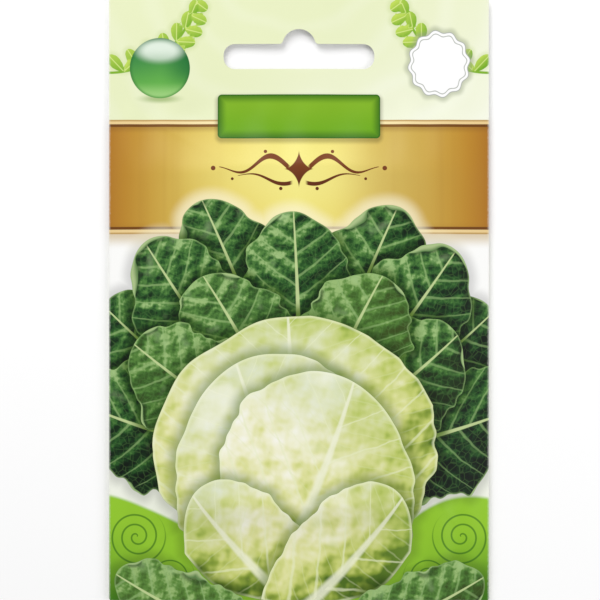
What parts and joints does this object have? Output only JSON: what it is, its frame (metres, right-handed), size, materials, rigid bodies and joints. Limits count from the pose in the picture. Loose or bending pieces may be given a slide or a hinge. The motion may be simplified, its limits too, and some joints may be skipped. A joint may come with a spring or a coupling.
{
  "type": "seed packet",
  "caption": "Flat paper seed packet with a slotted hanging header, a glued back seam and bottom flap, and a sealed inner sachet that holds the seeds.",
  "frame": {"origin": "on the surface that the packet lies on, under the middle of the packet", "axes": "+Z out of the printed front, +Y from the packet's foot towards the header with the hanging slot, +X to the right seen from the front"},
  "size_m": [0.082, 0.13, 0.0034],
  "materials": {
    "coated_paper": "printed and coated, semi-gloss",
    "foil_film": "silver foil-lined film, satin",
    "seed_coat": "matt dark brown seed coat"
  },
  "bodies": {
    "root": {"packet_paper": "coated_paper", "inner_sachet": "foil_film", "seeds": "seed_coat"}
  },
  "joints": []
}
